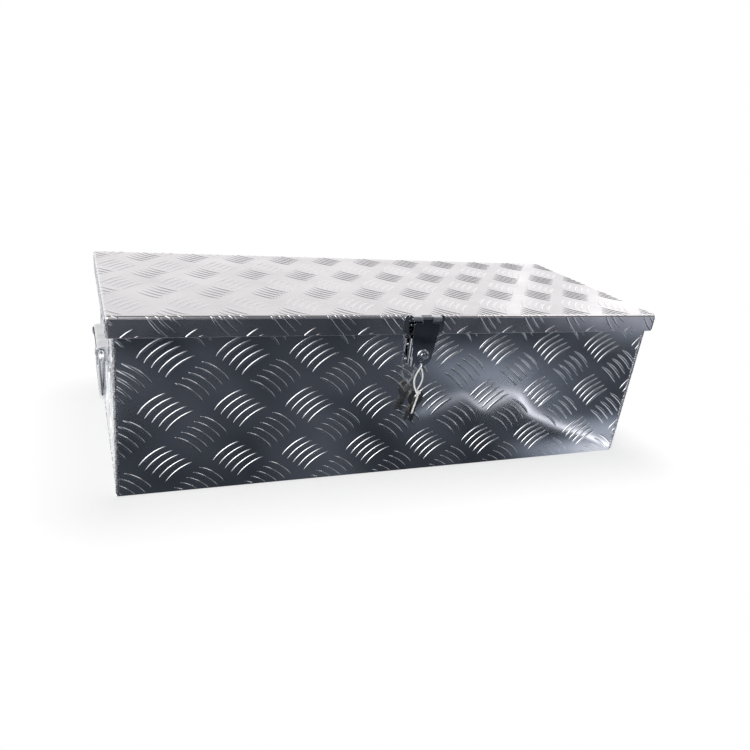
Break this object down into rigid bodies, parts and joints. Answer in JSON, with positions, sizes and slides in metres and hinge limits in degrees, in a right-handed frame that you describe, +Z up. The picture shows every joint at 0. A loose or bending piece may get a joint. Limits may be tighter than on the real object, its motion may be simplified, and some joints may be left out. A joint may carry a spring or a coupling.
{
  "type": "truck tool box",
  "caption": "Rectangular aluminium tread plate tool box with a hinged overlapping lid, keyed front flap latch, slotted lid stays and a drop handle on each end.",
  "frame": {"origin": "on the underside of the floor, below the middle of the lid", "axes": "+X along the length to the right, +Y from the front (latch) to the hinge at the back, +Z up"},
  "size_m": [0.7786, 0.3211, 0.23],
  "materials": {
    "bright_sheet": "bright rolled five-bar tread plate",
    "chrome": "polished chrome plate",
    "zinc_steel": "zinc plated",
    "foam_seal": "closed cell foam",
    "white_nylon": "moulded nylon",
    "key_metal": "worn nickel plate"
  },
  "bodies": {
    "body": {"body_wrap": "bright_sheet", "left_end_panel": "bright_sheet", "right_end_panel": "bright_sheet", "hinge_body_leaf": "zinc_steel", "hinge_pin": "zinc_steel", "left_stay_post": "zinc_steel", "right_stay_post": "zinc_steel", "left_handle_plate": "chrome", "right_handle_plate": "chrome", "latch_keeper": "chrome"},
    "lid": {"lid_pan": "bright_sheet", "lid_gasket": "foam_seal", "hinge_lid_leaf": "zinc_steel", "left_stay_bracket": "zinc_steel", "right_stay_bracket": "zinc_steel", "left_stay_rivet": "zinc_steel", "right_stay_rivet": "zinc_steel", "latch_bracket": "chrome", "latch_pin": "chrome"},
    "latch_flap": {"latch_flap": "chrome", "lock_body": "chrome", "lock_nut": "zinc_steel"},
    "lock_plug": {"lock_plug": "chrome", "lock_cam": "zinc_steel", "cam_screw": "zinc_steel"},
    "key_tie": {"cable_tie": "white_nylon"},
    "key_1": {"key_1": "key_metal"},
    "key_2": {"key_2": "key_metal"},
    "left_stay": {"left_lid_stay": "zinc_steel"},
    "right_stay": {"right_lid_stay": "zinc_steel"},
    "left_handle": {"left_handle_bail": "chrome"},
    "right_handle": {"right_handle_bail": "chrome"}
  },
  "joints": [
    {"name": "lid_hinge", "type": "hinge", "parent": "body", "child": "lid", "pos_m": [0, 0.15205, 0.20105], "axis": [-1, 0, 0], "range_deg": [0, 90]},
    {"name": "left_stay_pivot", "type": "hinge", "parent": "lid", "child": "left_stay", "pos_m": [-0.3535, 0.05255, 0.21105], "axis": [-1, 0, 0], "range_deg": [-45, 0]},
    {"name": "right_stay_pivot", "type": "hinge", "parent": "lid", "child": "right_stay", "pos_m": [0.3535, 0.05255, 0.21105], "axis": [-1, 0, 0], "range_deg": [-45, 0]},
    {"name": "latch_swing", "type": "hinge", "parent": "lid", "child": "latch_flap", "pos_m": [0, -0.1588, 0.2265], "axis": [-1, 0, 0], "range_deg": [0, 120]},
    {"name": "lock_turn", "type": "hinge", "parent": "latch_flap", "child": "lock_plug", "pos_m": [0, -0.1613, 0.179], "axis": [0, 1, 0], "range_deg": [0, 90]},
    {"name": "tie_swing", "type": "hinge", "parent": "latch_flap", "child": "key_tie", "pos_m": [0, -0.1613, 0.167], "axis": [-1, 0, 0], "range_deg": [-5, 25]},
    {"name": "key_1_swing", "type": "hinge", "parent": "key_tie", "child": "key_1", "pos_m": [0, -0.1613, 0.124], "axis": [0, 1, 0], "range_deg": [-30, 30]},
    {"name": "key_2_swing", "type": "hinge", "parent": "key_tie", "child": "key_2", "pos_m": [0, -0.1613, 0.124], "axis": [0, 1, 0], "range_deg": [-30, 30]},
    {"name": "left_handle_swing", "type": "hinge", "parent": "body", "child": "left_handle", "pos_m": [-0.3818, 0, 0.148], "axis": [0, 1, 0], "range_deg": [0, 90]},
    {"name": "right_handle_swing", "type": "hinge", "parent": "body", "child": "right_handle", "pos_m": [0.3818, 0, 0.148], "axis": [0, -1, 0], "range_deg": [0, 90]}
  ],
  "couplings": [
    {"joint": "left_stay_pivot", "follows": "lid_hinge", "ratio": -0.5},
    {"joint": "right_stay_pivot", "follows": "lid_hinge", "ratio": -0.5}
  ]
}
